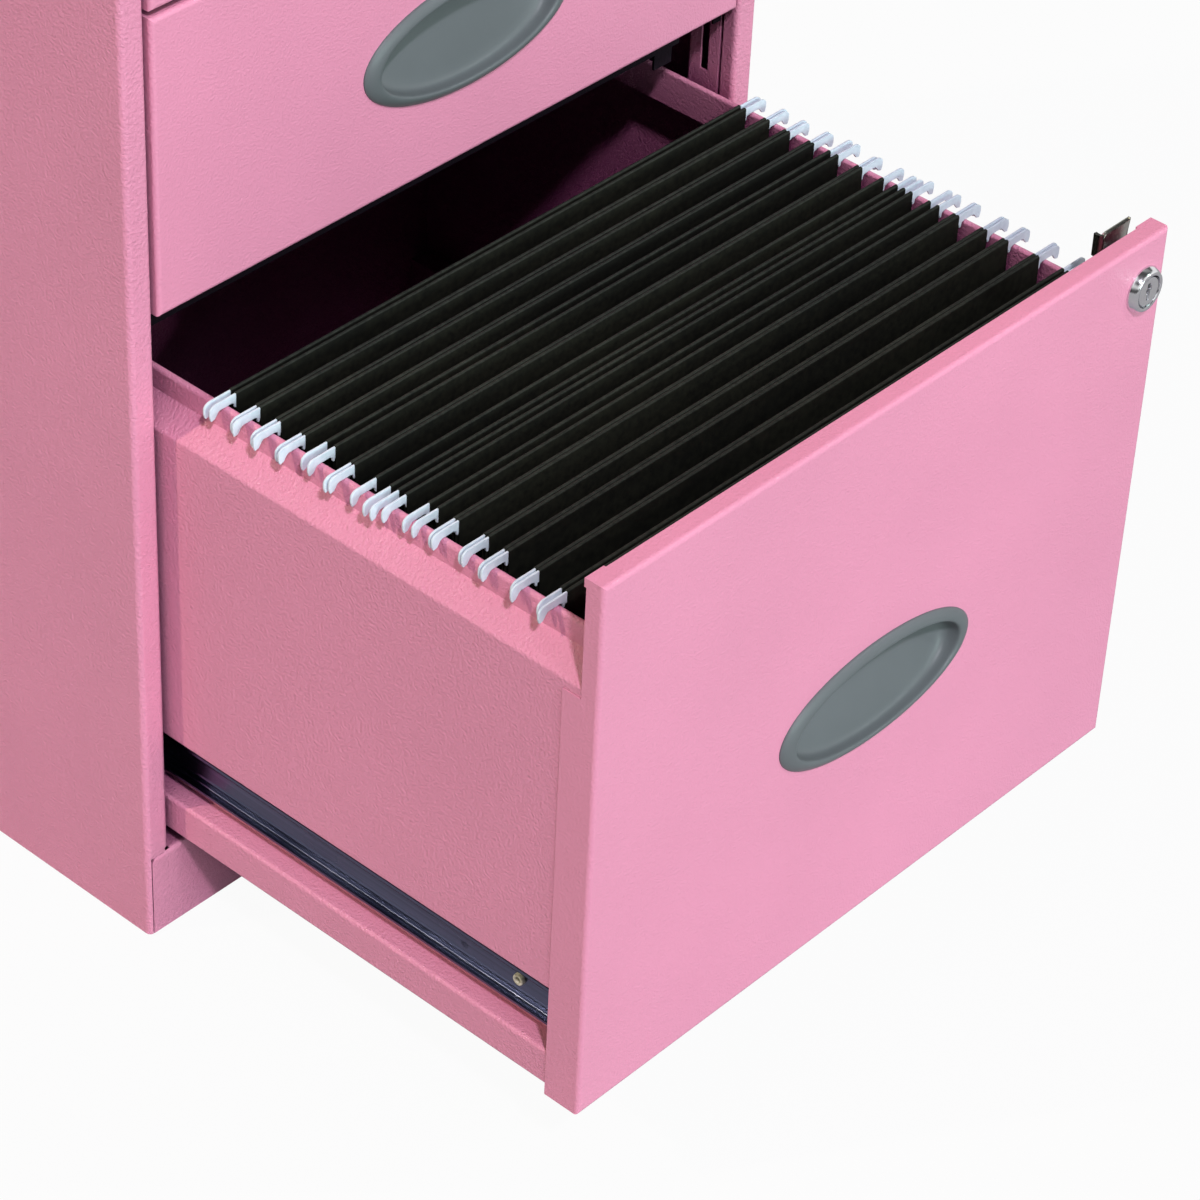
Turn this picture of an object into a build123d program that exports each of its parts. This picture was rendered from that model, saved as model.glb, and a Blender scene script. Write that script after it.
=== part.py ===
from build123d import *
import os
from math import atan, atan2, cos, degrees, hypot, pi, radians, sin, sqrt

# A three-drawer steel filing cabinet: two box drawers over a letter file drawer on ball
# slides. Lengths are millimetres. X runs to the right, Z up, and depth is measured back (+Y)
# from the plane of the front stiles; the last step moves the origin under the middle of the
# cabinet's box, with the file drawer pulled out as it stands at rest.

# Case
case_width = 362.0
case_depth = 457.0
case_gauge = 1.0
case_bend = 2.5
stile_face = 12.0
stile_return = 7.5
base_rail_height = 41.0
base_rail_ledge = 25.0
base_rail_fold = 11.0
base_rail_return = 10.0
header_height = 27.0
header_return = 8.0
panel_flange = 14.0
top_flange = 12.0
back_flange = 12.0
rib_place = 80.0
rib_half_width = 14.0
rib_rise = 2.2
rib_end_gap = 60.0
rear_rail_height = 36.0
weld_gap = 0.2
plate_seam = 0.5
plate_corner = 4.0
relief = 2.4

# Drawer fronts
file_front_height = 260.0
box_front_height = 129.5
front_gap = 3.0
floor_gap = 4.0
side_gap = 2.0
front_gauge = 1.0
front_proud = 1.0
front_edge = 2.0
front_return = 8.5
file_side_return = 17.7
corner_tab = 10.0
corner_tab_depth = 1.0

# Slotted uprights
upright_start = 9.3
upright_depth = 17.8
rear_upright_inset = 28.0
slot_width = 4.4
slot_height = 24.0
slots_per_box_drawer = 4
slot_below_slide = 13.05
divider_depth = 20.0
divider_height = 24.0
divider_fold = 9.0
divider_cover = 11.0

# Ball slides
slide_space = 12.7
slide_gauge = 1.2
slide_travel = 300.0
slide_overlap = 100.0
slide_start = 18.0
file_slide_rise = 38.45
box_slide_rise = 40.45
member_start = 4.0
member_half_height = 9.5
race_gap = 1.8
ball_radius = 1.8
race_clearance = 0.1
ball_side = 4.7
cage_gauge = 0.8
cage_length = 76.0
cage_balls = 2
runner_tongue = 6.0
hook_drop = 4.0
hook_thickness = 1.8
hook_neck = 12.0
stop_place = 40.0
stop_rise = 1.5
stop_radius = 3.2
stop_height = 3.4

# Drawer bodies
drawer_gauge = 1.0
drawer_past_slide = 6.0
file_panel_clearance = 2.5
file_bar_height = 17.8
groove_height = 32.6
rail_below_front = 32.9
shoulder_below_rail = 16.2
shoulder_rise = 7.0
shoulder_width = 10.9
hanging_rail_width = 3.0
hanging_rail_fold = 16.5
floor_lap = 16.0
floor_fold = 12.0
tray_below_front = 37.5
tray_floor_drop = 32.5
tray_hem = 2.6
box_back_drop = 14.0
box_back_fold = 10.0
rivet_radius = 2.0
rivet_head = 3.6
rivet_places = (70.0, 350.0)

# Handle cups
cup_half_length = 58.3
cup_half_height = 25.3
cup_lip = 7.9
cup_lip_height = 5.0
cup_rise = 3.0
cup_depth = 13.0
cup_wall = 2.0
cup_floor_inset = 12.0
cup_floor_inset_height = 10.0
snap_half_length = 12.0
file_handle_drop = 11.0
box_handle_drop = 7.0

# Lock
lock_from_side = 14.0
lock_from_top = 23.0
bezel_radius = 10.2
bezel_front_radius = 8.5
bezel_proud = 3.8
plug_radius = 6.5
plug_clearance = 0.05
housing_radius = 8.0
housing_flat = 6.9
housing_length = 15.0
nut_across_flats = 20.0
nut_thickness = 4.0
cam_thickness = 2.0
cam_reach = 22.0
cam_half_width = 9.0
cam_hub = 7.0
cam_flare = 10.0
keeper_width = 11.0
keeper_overlap = 4.0
keeper_gap = 1.0

# Hanging folders
folder_floor_gap = 4.55
rail_side_play = 3.35
rod_thickness = 1.0
rod_rise = 3.7
hook_reach = 7.3
hook_fall = 5.9
hook_width = 4.4
hook_tip = 2.0
tooth_drop = 2.7
paper = 0.5
rod_slack = 0.1
folder_places = (32.6, 46.4, 61.9, 71.9, 86.8, 95.7, 111.4, 127.0, 140.0, 150.0, 168.2,
                 181.3, 192.0, 204.0)
folder_spreads = (4.2, 3.6, 4.4, 3.6, 4.2, 5.6, 5.0, 3.6, 4.6, 3.6, 4.6, 3.6, 3.6, 4.4)

# Feet
glide_inset = 28.0
glide_radius = 13.0
glide_pad = 5.0
stud_radius = 4.0
stud_top = 27.0
bracket_leg = 56.0
bracket_end = 14.0
bracket_height = 18.0
bracket_turn_up = 10.0

# Flat sides that stand for round edges
ball_sides = 8
race_sides = 8
rivet_sides = 8
boss_sides = 8
lock_sides = 20
screw_sides = 12
glide_sides = 12
cup_sides = 32

# How far the file drawer stands open at rest
file_opening = 228.5

# Places that follow from the sizes above
opening_half = case_width / 2 - stile_face
base_rail_half = case_width / 2 - case_bend
front_half = opening_half - side_gap
file_front_bottom = base_rail_height + floor_gap
file_front_top = file_front_bottom + file_front_height
box_pitch = box_front_height + front_gap
middle_front_bottom = file_front_top + front_gap
top_front_bottom = middle_front_bottom + box_pitch
case_height = top_front_bottom + box_pitch + header_height
file_slide = file_front_bottom + file_slide_rise
middle_slide = middle_front_bottom + box_slide_rise
top_slide = top_front_bottom + box_slide_rise
slide_length = slide_travel + slide_overlap
drawer_end = member_start + slide_length + drawer_past_slide
rear_upright_start = slide_start + slide_length - rear_upright_inset
face_back = front_gauge - front_proud
slot_offset = (upright_depth - slot_width) / 2 - 1.0
side_web = opening_half - slide_space
race_radius = ball_radius + race_clearance
ball_rise = member_half_height - slide_gauge + race_radius + 0.1
runner_half_height = member_half_height + race_gap + slide_gauge
ball_x = side_web + ball_side
tray_height = box_front_height - tray_below_front
file_panel = opening_half - file_panel_clearance
rail_top = file_front_top - rail_below_front
rail_outer = file_panel - shoulder_width
rail_inner = rail_outer - hanging_rail_width
shoulder = rail_top - shoulder_below_rail
panel_step = shoulder - 5.9
file_bottom = file_slide - groove_height / 2 - file_bar_height
file_floor_bottom = file_bottom + drawer_gauge + 0.1
folder_half = rail_inner - rail_side_play
folder_bottom = file_floor_bottom + drawer_gauge + folder_floor_gap
file_cup = file_front_bottom + file_front_height / 2 - file_handle_drop
lock_x = front_half - lock_from_side
lock_z = file_front_top - lock_from_top
keeper_bottom = lock_z + cam_half_width - keeper_overlap
cam_start = housing_length + 0.3 - front_proud
rest_front = file_opening + front_proud + bezel_proud
origin_depth = (case_depth - rest_front) / 2


def bent_sheet(points, radii, gauge):
    """Section of a sheet bent along a middle line through the points: round outside, sharp inside."""
    line = [Vector(*p) for p in points]
    runs = [(b - a).normalized() for a, b in zip(line, line[1:])]
    sides = [Vector(-run.Y, run.X) for run in runs]
    left, right, left_radii, right_radii = [], [], [0], [0]
    for i, point in enumerate(line):
        before = sides[max(i - 1, 0)]
        after = sides[min(i, len(sides) - 1)]
        reach = (before + after) * (gauge / 2 / (1 + before.dot(after)))
        left.append(point + reach)
        right.append(point - reach)
        if 0 < i < len(line) - 1:
            turn = runs[i - 1].cross(runs[i]).Z
            outside = radii[i - 1] + gauge / 2 if radii[i - 1] else 0
            left_radii.append(0 if turn > 0 else outside)
            right_radii.append(outside if turn > 0 else 0)
    left_radii.append(0)
    right_radii.append(0)
    outline = left + right[::-1]
    return make_face(FilletPolyline(*outline, radius=left_radii + right_radii[::-1], close=True))


def along_x(section, start, end):
    """Run a section drawn in (depth, height) from one width to another."""
    return extrude(Plane.YZ.offset(start) * section, end - start)


def along_y(section, start, end):
    """Run a section drawn in (width, height) from one depth to another."""
    return extrude(Plane.XZ.offset(-end) * section, end - start)


def along_z(section, start, end):
    """Run a section drawn in (width, depth) from one height to another."""
    return extrude(Plane.XY.offset(start) * section, end - start)


def block(x, y, z):
    """Box between two limits in each direction."""
    middle = Pos((x[0] + x[1]) / 2, (y[0] + y[1]) / 2, (z[0] + z[1]) / 2)
    return middle * Box(abs(x[1] - x[0]), abs(y[1] - y[0]), abs(z[1] - z[0]))


def mirrored(part):
    """The same piece for the left side."""
    return mirror(part, about=Plane.YZ)


def polygon(points):
    """Face inside straight lines through the points."""
    return make_face(Polyline(*points, close=True))


def flat_round(radius, sides, around=False):
    """Regular polygon inside a circle, or around it, with a flat on each axis."""
    return RegularPolygon(radius, sides, major_radius=not around, rotation=180 / sides)


def slot_bottoms():
    """Bottom edges of the upright's slots: even steps between the drawers' own slots."""
    low, high = file_slide - slot_below_slide, middle_slide - slot_below_slide
    step = box_pitch / slots_per_box_drawer
    rows = round((high - low) / step)
    below = [low + (high - low) * row / rows for row in range(rows)]
    return below + [high + step * row for row in range(slots_per_box_drawer + 1)]


def slots_in_use():
    """Bottom edges of the slots that carry a slide."""
    return [slide - slot_below_slide for slide in (file_slide, middle_slide, top_slide)]


def side_panel():
    """Right side of the case: one sheet, rolled to the stile in front and flanged at the back."""
    middle = case_gauge / 2
    bend = case_bend - middle
    outer = case_width / 2 - middle
    inner = opening_half + middle
    section = bent_sheet(
        [(inner, stile_return), (inner, middle), (outer, middle), (outer, case_depth - middle),
         (case_width / 2 - panel_flange, case_depth - middle)], [bend] * 3, case_gauge)
    top = case_height - case_gauge - weld_gap
    panel = along_z(section, 0, top)
    reach = (-1, stile_return + 1)
    across = (opening_half - 1, base_rail_half + plate_seam)
    panel -= block(across, reach, (-1, base_rail_height + plate_seam))
    panel -= block(across, reach, (case_height - header_height - plate_seam, case_height))
    notch = (opening_half - 1, opening_half + relief)
    panel -= block(notch, reach, (base_rail_height, base_rail_height + relief))
    return panel


def plate_outline(low, high, rounded_low):
    """Face of a front plate as wide as the base rail, with two rounded corners."""
    rounds, square = [plate_corner, plate_corner], [0, 0]
    radii = rounds + square if rounded_low else square + rounds
    points = [(-base_rail_half, low), (base_rail_half, low), (base_rail_half, high),
              (-base_rail_half, high)]
    return make_face(FilletPolyline(*points, radius=radii, close=True))


def base_rail_front():
    """Plate across the foot of the case, with a ledge on top and a return at the floor."""
    middle = case_gauge / 2
    top = base_rail_height - middle
    section = bent_sheet(
        [(base_rail_return, middle), (middle, middle), (middle, top), (base_rail_ledge, top),
         (base_rail_ledge, top - base_rail_fold)], [0, 1.5, 0], case_gauge)
    rail = along_x(section, -base_rail_half, base_rail_half)
    for side in (-1, 1):
        rail -= block((side * (opening_half - relief / 2), side * (opening_half + relief)),
                      (case_gauge, case_gauge + relief), (top - 1, top + 1))
    return rail & along_y(plate_outline(0, base_rail_height, False), -1, base_rail_ledge + 2)


def base_rail_rear():
    """Angle across the foot of the back."""
    depth = case_depth - 2 * case_gauge - 2 * weld_gap - case_gauge / 2
    section = bent_sheet([(depth - 9, case_gauge / 2), (depth, case_gauge / 2),
                          (depth, rear_rail_height)], [1.5], case_gauge)
    return along_x(section, -base_rail_half, base_rail_half)


def top_panel():
    """Top sheet with the front header, its return and a flange inside each side panel."""
    middle = case_gauge / 2
    low = case_height - header_height
    plan = Pos(0, case_depth / 2) * RectangleRounded(case_width, case_depth, case_bend)
    sheet = along_z(plan, case_height - case_gauge, case_height)
    rim = sheet.faces().sort_by(Axis.Z)[-1].edges()
    sheet = chamfer(rim, 0.6 * case_gauge)
    section = bent_sheet(
        [(header_return, low + middle), (middle, low + middle),
         (middle, case_height - 0.9 * case_gauge)], [1.5], case_gauge)
    header = along_x(section, -base_rail_half, base_rail_half)
    header &= along_y(plate_outline(low, case_height, True), -1, header_return + 1)
    flange = case_width / 2 - case_gauge - weld_gap
    panel = sheet + header
    for side in (-1, 1):
        panel += block((side * flange, side * (flange - case_gauge)),
                       (top_flange, case_depth - panel_flange - back_flange),
                       (case_height - top_flange, case_height - middle))
    return panel


def back_panel():
    """Back sheet with two pressed ribs and a flange under the top."""
    middle = case_gauge / 2
    depth = case_depth - case_gauge - weld_gap - middle
    top = case_height - case_gauge - weld_gap - middle
    half = case_width / 2 - case_gauge - weld_gap - case_bend / 2
    section = bent_sheet([(depth - back_flange, top), (depth, top), (depth, 2)], [1.5], case_gauge)
    panel = along_x(section, -half, half)
    low, high = rib_end_gap, top - rib_end_gap
    for centre in (-rib_place, rib_place):
        rib = bent_sheet(
            [(centre - rib_half_width, depth), (centre - rib_half_width / 2, depth - rib_rise),
             (centre + rib_half_width / 2, depth - rib_rise), (centre + rib_half_width, depth)],
            [0, 0], case_gauge)
        width = (centre - rib_half_width + 0.4, centre + rib_half_width - 0.4)
        panel -= block(width, (depth - case_gauge, depth + case_gauge), (low, high))
        panel += along_z(rib, low, high)
        for end in (low, high):
            panel += block(width, (depth - rib_rise - middle, depth + middle), (end - 0.6, end + 0.6))
    return panel


def upright(start, bottoms):
    """Slotted channel welded inside a side panel, for the right side."""
    middle = case_gauge / 2
    web = opening_half + middle
    wall = case_width / 2 - case_gauge - weld_gap
    section = bent_sheet(
        [(wall, start + middle), (web, start + middle), (web, start + upright_depth - middle),
         (wall, start + upright_depth - middle)], [0, 1.5], case_gauge)
    channel = along_z(section, base_rail_height + 3, case_height - header_height + 8)
    slot = (start + slot_offset, start + slot_offset + slot_width)
    for low in bottoms:
        channel -= block((opening_half - 1, opening_half + case_gauge + 1), slot,
                         (low, low + slot_height))
    return channel


def divider_rail(low, high):
    """Cross rail between two drawers: a channel open below."""
    middle = case_gauge / 2
    front = upright_start + middle
    rear = front + divider_depth
    section = bent_sheet([(front, low), (front, high - middle), (rear, high - middle),
                          (rear, high - divider_fold)], [1.5, 0], case_gauge)
    half = opening_half - weld_gap
    return along_x(section, -half, half)


def lower_divider():
    """Cross rail over the file drawer: a notch lets the upright cam in, a tab holds it turned."""
    low = middle_front_bottom - divider_cover
    rail = divider_rail(low, middle_front_bottom + 1)
    side = cam_half_width + 2
    notch_top = lock_z + sqrt(cam_reach ** 2 + cam_half_width ** 2) + 0.8
    rail -= block((lock_x - side, lock_x + side), (upright_start - 1, upright_start + 2),
                  (low - 1, notch_top))
    weld = upright_start + 1.5 * case_gauge
    hold = cam_start - keeper_gap - case_gauge / 2
    tab = bent_sheet([(weld, middle_front_bottom - 1), (weld, low + 3), (hold, low),
                      (hold, keeper_bottom)], [0, 0], case_gauge)
    tip = lock_x - cam_reach - 1
    return rail + along_x(tab, tip, tip + keeper_width)


def foot_bracket(x, y, to_side, to_end):
    """Corner plate that carries a glide, with a turned edge along the case wall."""
    far = y + to_end * bracket_leg
    corner = [(x, y), (x - to_side * bracket_leg, y), (x - to_side * bracket_end, far), (x, far)]
    plate = along_z(polygon(corner), bracket_height, bracket_height + 1.5)
    edge = block((x, x - to_side * 1.5), (y, far),
                 (bracket_height, bracket_height + bracket_turn_up))
    hole = Pos(x - to_side * (glide_inset - case_gauge - weld_gap),
               y + to_end * (glide_inset - case_gauge - weld_gap), bracket_height)
    return plate + edge - hole * extrude(flat_round(stud_radius + 0.1, rivet_sides, True), 5, both=True)


def glide():
    """Levelling glide: pad, threaded stud and the nut under its bracket."""
    pad = along_z(flat_round(glide_radius, glide_sides), 0, glide_pad)
    stud = along_z(flat_round(stud_radius, rivet_sides), glide_pad - 1, stud_top)
    nut = along_z(RegularPolygon(7.5, 6), bracket_height - 6.5, bracket_height - 0.1)
    return pad + stud + nut


def feet():
    """Brackets and glides at the four corners of the base."""
    wall = case_width / 2 - case_gauge - weld_gap
    front = case_bend + weld_gap
    rear = case_depth - 3 * case_gauge - 3 * weld_gap
    brackets, glides = [], []
    for side in (-1, 1):
        for depth, to_end in ((front, 1), (rear, -1)):
            brackets.append(foot_bracket(side * wall, depth, side, to_end))
            inset = glide_inset - case_gauge - weld_gap
            glides.append(Pos(side * (wall - inset), depth + to_end * inset, 0) * glide())
    return Compound(brackets), Compound(glides)


def race_bulge(outward):
    """Part of a slide flange that is pressed round the ball track, outward or inward."""
    ring = Pos(ball_x, ball_rise) * flat_round(race_radius + slide_gauge, race_sides, True)
    way = 1 if outward else -1
    beyond = race_radius + slide_gauge + 1
    return ring & rectangle_between((ball_x - beyond, ball_x + beyond),
                                    (ball_rise + way * race_gap / 2, ball_rise + way * beyond))


def both_flanges(upper, height):
    """A flange section and its mirror image below the middle of the slide."""
    lower = mirror(upper, about=Plane.XZ)
    return Pos(0, height) * (upper + lower)


def rectangle_between(x, y):
    """Rectangle between two limits each way."""
    return Pos((x[0] + x[1]) / 2, (y[0] + y[1]) / 2) * Rectangle(abs(x[1] - x[0]), abs(y[1] - y[0]))


def member_section(height):
    """Drawer half of the slide, for the right side: a channel with ball tracks outside."""
    track = Pos(ball_x, ball_rise) * flat_round(race_radius, race_sides, True)
    flange = rectangle_between((side_web, ball_x + 3.0),
                               (member_half_height - slide_gauge, member_half_height))
    web = rectangle_between((side_web, side_web + slide_gauge), (0, member_half_height))
    return both_flanges(flange + web + race_bulge(False) - track, height)


def runner_section(height):
    """Case half of the slide, for the right side: a channel with ball tracks inside."""
    track = Pos(ball_x, ball_rise) * flat_round(race_radius, race_sides, True)
    flange = rectangle_between((ball_x - 3.0, opening_half),
                               (runner_half_height - slide_gauge, runner_half_height))
    web = rectangle_between((opening_half - slide_gauge, opening_half), (0, runner_half_height))
    return both_flanges(flange + web + race_bulge(True) - track, height)


def cage_section(height):
    """Ball cage strip bent to a channel between the two halves."""
    outer = opening_half - slide_gauge - 1.2
    half = ball_rise - cage_gauge / 2
    strip = rectangle_between((ball_x - 2.4, outer), (half, half + cage_gauge))
    web = rectangle_between((outer - cage_gauge, outer), (0, half + cage_gauge))
    return both_flanges(strip + web, height)


def runner(height):
    """Case half of a slide with its tongue and the two hooks that drop into the uprights."""
    channel = along_y(runner_section(height), slide_start, slide_start + slide_length)
    web = (opening_half - slide_gauge, opening_half)
    channel += block(web, (slide_start - runner_tongue, slide_start + 1), (height - 8, height + 8))
    back = opening_half + case_gauge + weld_gap
    seat = height - slot_below_slide + 0.1
    for start in (upright_start, rear_upright_start):
        middle = start + slot_offset + slot_width / 2
        across = (middle - hook_thickness / 2, middle + hook_thickness / 2)
        channel += block((opening_half - slide_gauge, back + 1.6), across, (seat, seat + hook_neck))
        channel += block((back, back + 1.6), across, (seat - hook_drop, seat + 1))
    return channel


def slide_member(height):
    """Drawer half of the slide with its stop boss, stop nib and rivet holes."""
    channel = along_y(member_section(height), member_start, member_start + slide_length)
    boss = Pos(side_web, stop_place, height + stop_rise) * Rot(0, 90, 0)
    channel += boss * along_z(flat_round(stop_radius, boss_sides), slide_gauge / 2, stop_height)
    channel -= boss * along_z(flat_round(stop_radius - 1.7, boss_sides), -1, stop_height + 1)
    channel += block((ball_x + 1.4, ball_x + 3.0), (stop_place - 2, stop_place + 3),
                     (height - member_half_height + 0.2, height - member_half_height + 2.8))
    for place in rivet_places:
        channel -= rivet_hole(place, height)
    return channel


def rivet_hole(place, height):
    """Hole through a drawer side and its slide for one rivet."""
    hole = extrude(flat_round(rivet_radius + 0.05, rivet_sides, True), 5, both=True)
    return Pos(side_web, place, height) * Rot(0, 90, 0) * hole


def ball():
    """Ball of a slide, cut with flats that all stay inside its round."""
    across = ball_radius / sqrt(1 + 2 * (sin(pi / ball_sides) / cos(pi / ball_sides)) ** 2)
    rod = extrude(flat_round(across, ball_sides, True), 2 * ball_radius, both=True)
    return rod & Rot(90, 0, 0) * rod & Rot(0, 90, 0) * rod


def cage(height):
    """Ball cage with its balls, halfway along the slide when the drawer is shut."""
    middle = (slide_start + member_start + slide_length) / 2
    strip = along_y(cage_section(height), middle - cage_length / 2, middle + cage_length / 2)
    pitch = cage_length / cage_balls
    balls = []
    for number in range(cage_balls):
        depth = middle + (number - (cage_balls - 1) / 2) * pitch
        for side in (-1, 1):
            place = Pos(ball_x, depth, height + side * ball_rise)
            window = 2 * ball_radius + 0.2
            strip -= place * Box(window, window, 3)
            balls.append(place * ball())
    return Compound([strip] + balls)


def rivets(height):
    """Rivets, headed inside the drawer, that hold one slide half to the drawer side."""
    rivet = along_z(flat_round(rivet_radius, rivet_sides), -0.5, drawer_gauge + slide_gauge)
    rivet += along_z(flat_round(rivet_head, rivet_sides), -1.1, 0)
    inside = side_web - drawer_gauge
    return [Pos(inside, place, height) * Rot(0, 90, 0) * rivet for place in rivet_places]


def front_pan(bottom, height, side_return):
    """Drawer front: a pan of sheet folded back on all four sides."""
    face = -front_proud
    solid = block((-front_half, front_half), (face, face + side_return), (bottom, bottom + height))
    solid = fillet(solid.faces().sort_by(Axis.Y)[0].edges(), front_edge)
    return solid - block((-front_half + front_gauge, front_half - front_gauge),
                         (face + front_gauge, face + side_return + 5),
                         (bottom + front_gauge, bottom + height - front_gauge))


def oval(half_width, half_height):
    """Corners of an oval whose flat sides keep their directions at every size."""
    turns = [2 * pi * k / cup_sides for k in range(cup_sides)]
    normals = [atan2(cup_half_length * sin(t), cup_half_height * cos(t)) for t in turns]
    corners = []
    for here, there in zip(normals, normals[1:] + normals[:1]):
        reach = hypot(half_width * cos(here), half_height * sin(here))
        next_reach = hypot(half_width * cos(there), half_height * sin(there))
        lean = sin(there - here)
        corners.append(((reach * sin(there) - next_reach * sin(here)) / lean,
                        (next_reach * cos(here) - reach * cos(there)) / lean))
    return corners


def cup_hole(height):
    """Oval hole through a front for its handle cup."""
    opening = polygon(oval(cup_half_length - cup_lip + cup_wall + 0.4,
                           cup_half_height - cup_lip_height + cup_wall - 0.6))
    return along_y(Pos(0, height) * opening, -front_proud - 1, face_back + 1)


def file_front():
    """File drawer front, with shallower returns beside the hanging rails and on top."""
    pan = front_pan(file_front_bottom, file_front_height, file_side_return)
    shallow = front_return - front_proud
    beyond = (shallow, file_side_return + 1)
    inside = front_half - corner_tab
    pan -= block((-inside, inside), beyond, (panel_step, file_front_top + 1))
    pan -= block((-front_half - 1, front_half + 1), (shallow + corner_tab_depth, beyond[1]),
                 (panel_step, file_front_top + 1))
    pan -= block((-front_half - 1, front_half + 1), beyond,
                 (panel_step, file_front_top - front_gauge - 3))
    pan -= cup_hole(file_cup)
    barrel = flat_round(housing_radius + 0.1, lock_sides, True)
    barrel &= Rectangle(2 * housing_flat + 0.2, 4 * housing_radius)
    return pan - along_y(Pos(lock_x, lock_z) * barrel, -front_proud - 1, face_back + 1)


def box_front(bottom):
    """Front of a box drawer."""
    pan = front_pan(bottom, box_front_height, front_return)
    return pan - cup_hole(bottom + box_front_height / 2 - box_handle_drop)


def oval_stack(rings):
    """Solid through ovals, each inset from the cup's rim at a depth behind the front's face."""
    loops = [[Vector(x, depth - front_proud, z) for x, z in
              oval(cup_half_length - inset_x, cup_half_height - inset_z)]
             for inset_x, inset_z, depth in rings]
    faces = [Face(Wire.make_polygon(loops[0])), Face(Wire.make_polygon(loops[-1]))]
    for near, far in zip(loops, loops[1:]):
        for k, point in enumerate(near):
            faces.append(Face(Wire.make_polygon([near[k - 1], point, far[k], far[k - 1]])))
    return Solid(Shell(faces))


def handle_cup(centre):
    """Moulded oval handle: a raised rim, a finger recess and two snap ridges behind."""
    rim = oval_stack([(0, 0, 0), (0.4, 0.4, -0.8), (3.6, 2.5, -cup_rise + 0.3),
                      (cup_lip - 1.4, cup_lip_height - 0.8, -cup_rise)])
    shell_x, shell_z = cup_lip - cup_wall, cup_lip_height - cup_wall + 0.8
    taper_x, taper_z = cup_floor_inset - cup_wall, cup_floor_inset_height - cup_wall
    body = oval_stack([(shell_x, shell_z, -0.5), (shell_x + taper_x, shell_z + taper_z, cup_depth)])
    recess = oval_stack([(cup_lip - 0.6, cup_lip_height - 0.6, -cup_rise - 0.6),
                         (cup_lip + 3.4, cup_lip_height + 3.4, cup_depth * 0.3),
                         (cup_lip + cup_floor_inset, cup_lip_height + cup_floor_inset_height,
                          cup_depth - cup_wall)])
    cup = rim + body - recess
    edge = cup_half_height - shell_z
    for side in (-1, 1):
        cup += block((-snap_half_length, snap_half_length), (face_back + 0.3, face_back + 3),
                     (side * (edge - 2.6), side * edge))
    return Pos(0, 0, centre) * cup


def file_side_section():
    """Roll-formed side: folded hanging rail, shoulder, flat panel, slide groove, lower bar."""
    g = drawer_gauge / 2
    panel, web = file_panel - g, side_web - g
    groove_top = file_slide + groove_height / 2 + g
    ledge = file_slide - groove_height / 2 - g
    line = [(rail_inner + g, rail_top - hanging_rail_fold), (rail_inner + g, rail_top - g),
            (rail_outer - g, rail_top - g), (rail_outer - g, shoulder + shoulder_rise - 1),
            (panel, shoulder - 2), (panel, groove_top), (web, groove_top), (web, ledge),
            (panel, ledge), (panel, file_bottom + g), (panel - floor_lap, file_bottom + g)]
    return bent_sheet(line, [0.8, 1.2, 1.2, 1.2, 1.2, 0, 0, 1.2, 1.2], drawer_gauge)


def file_side():
    """Right side of the file drawer with its flange behind the front."""
    section = file_side_section()
    pan_back = file_side_return - front_proud
    side = along_y(section, pan_back + 0.3, drawer_end)
    upper = rectangle_between((0, case_width), (panel_step + 0.3, rail_top + 10))
    side += along_y(section & upper, front_return - front_proud + 0.3, pan_back + 0.4)
    inner = rectangle_between((0, front_half - front_gauge - 0.6), (0, panel_step))
    side += along_y(section & inner, face_back + 0.2, pan_back + 0.4)
    web = side_web - drawer_gauge
    low, high = file_slide - groove_height / 2, file_slide + groove_height / 2
    side += block((web - floor_fold, web + 0.5),
                  (face_back + 0.2, face_back + 0.2 + drawer_gauge), (low, high))
    for place in rivet_places:
        side -= rivet_hole(place, file_slide)
    return side


def file_floor():
    """Floor of the file drawer, turned up in front and behind."""
    g = drawer_gauge / 2
    middle = file_floor_bottom + g
    front, rear = face_back + 0.2 + g, drawer_end - 1.5
    section = bent_sheet([(front, middle + floor_fold), (front, middle), (rear, middle),
                          (rear, middle + floor_fold)], [0, 0], drawer_gauge)
    half = side_web - drawer_gauge - 0.3
    return along_x(section, -half, half)


def file_back():
    """Back of the file drawer, cut to the inside of the sides."""
    low = file_floor_bottom + drawer_gauge + 0.2
    groove_top = file_slide + groove_height / 2 + drawer_gauge
    inside_web = side_web - drawer_gauge - 0.2
    inside_panel = file_panel - drawer_gauge - 0.2
    high = rail_top - hanging_rail_fold - 0.5
    right = [(inside_web, low), (inside_web, groove_top + 0.4), (inside_panel, groove_top + 0.4),
             (inside_panel, shoulder - 4), (rail_outer - drawer_gauge - 1, high - 0.5)]
    left = [(-x, z) for x, z in reversed(right)]
    rear = drawer_end - 2 - drawer_gauge
    plate = along_y(polygon(right + left), rear - drawer_gauge, rear)
    edge = rail_outer - drawer_gauge - 4
    return plate + block((-edge, edge), (rear - floor_fold, rear), (high - 1.5, high - 0.5))


def box_tray(height):
    """Folded tray of a box drawer: floor, hemmed sides and flanges behind the front."""
    g = drawer_gauge / 2
    side = side_web - g
    floor = height - tray_floor_drop + g
    top = floor - g + tray_height - g
    half = [(side, floor), (side, top), (side - tray_hem, top), (side - tray_hem, top - 8)]
    line = [(-x, z) for x, z in reversed(half)] + half
    section = bent_sheet(line, [0, 0, 1.2, 1.2, 0, 0], drawer_gauge)
    tray = along_y(section, face_back + 0.2, drawer_end)
    for end in (-1, 1):
        tray += block((end * (side - floor_fold), end * side),
                      (face_back + 0.2, face_back + 0.2 + drawer_gauge), (floor + 6, top - 12))
        for place in rivet_places:
            hole = rivet_hole(place, height)
            tray -= hole if end > 0 else mirrored(hole)
    return tray


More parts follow.
